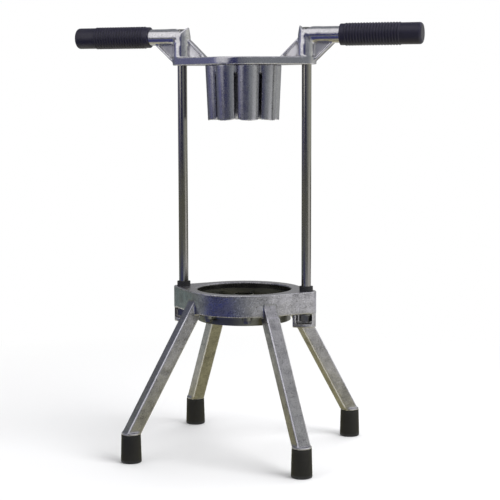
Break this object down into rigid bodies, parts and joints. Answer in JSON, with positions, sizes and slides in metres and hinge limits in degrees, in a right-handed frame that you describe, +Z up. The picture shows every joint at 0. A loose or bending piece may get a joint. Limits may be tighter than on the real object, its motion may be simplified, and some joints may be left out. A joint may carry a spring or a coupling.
{
  "type": "apple wedger press",
  "caption": "Free-standing hand press: a lobed plunger on a two-handled head slides down guide rods and pushes an apple through a ring of radial blades round a core tube.",
  "frame": {"origin": "on the table, under the middle of the blade ring", "axes": "+Z up along the guide rods, +X to the right handle, -Y to the user"},
  "size_m": [0.359, 0.1944, 0.4254],
  "materials": {
    "base_aluminium": "sand-cast aluminium, lightly polished on the ring, matte on the legs",
    "head_aluminium": "cast aluminium with polished arms and towers",
    "plunger_aluminium": "cast aluminium, polished lobes",
    "rod_steel": "ground steel rod",
    "blade_steel": "satin stainless steel",
    "fastener_steel": "plated steel",
    "rubber": "moulded black rubber",
    "grip_vinyl": "ribbed dip-moulded vinyl",
    "bushing_plastic": "natural nylon"
  },
  "bodies": {
    "base": {"base_casting": "base_aluminium", "left_guide_rod": "rod_steel", "right_guide_rod": "rod_steel", "left_rod_washer": "fastener_steel", "right_rod_washer": "fastener_steel", "left_rod_nut": "fastener_steel", "right_rod_nut": "fastener_steel", "left_bumper": "rubber", "right_bumper": "rubber", "front_left_foot": "rubber", "front_right_foot": "rubber", "rear_left_foot": "rubber", "rear_right_foot": "rubber", "blade_holder": "blade_steel", "core_tube": "blade_steel", "radial_blade_1": "blade_steel", "radial_blade_2": "blade_steel", "radial_blade_3": "blade_steel", "radial_blade_4": "blade_steel", "radial_blade_5": "blade_steel", "radial_blade_6": "blade_steel", "radial_blade_7": "blade_steel", "radial_blade_8": "blade_steel", "holder_screws": "fastener_steel"},
    "press_head": {"head_casting": "head_aluminium", "left_bushing": "bushing_plastic", "right_bushing": "bushing_plastic", "plunger": "plunger_aluminium", "plunger_screws": "fastener_steel", "left_grip": "grip_vinyl", "right_grip": "grip_vinyl"}
  },
  "joints": [
    {"name": "head_slide", "type": "slide", "parent": "base", "child": "press_head", "axis": [0, 0, -1], "range_m": [0, 0.2172]}
  ]
}
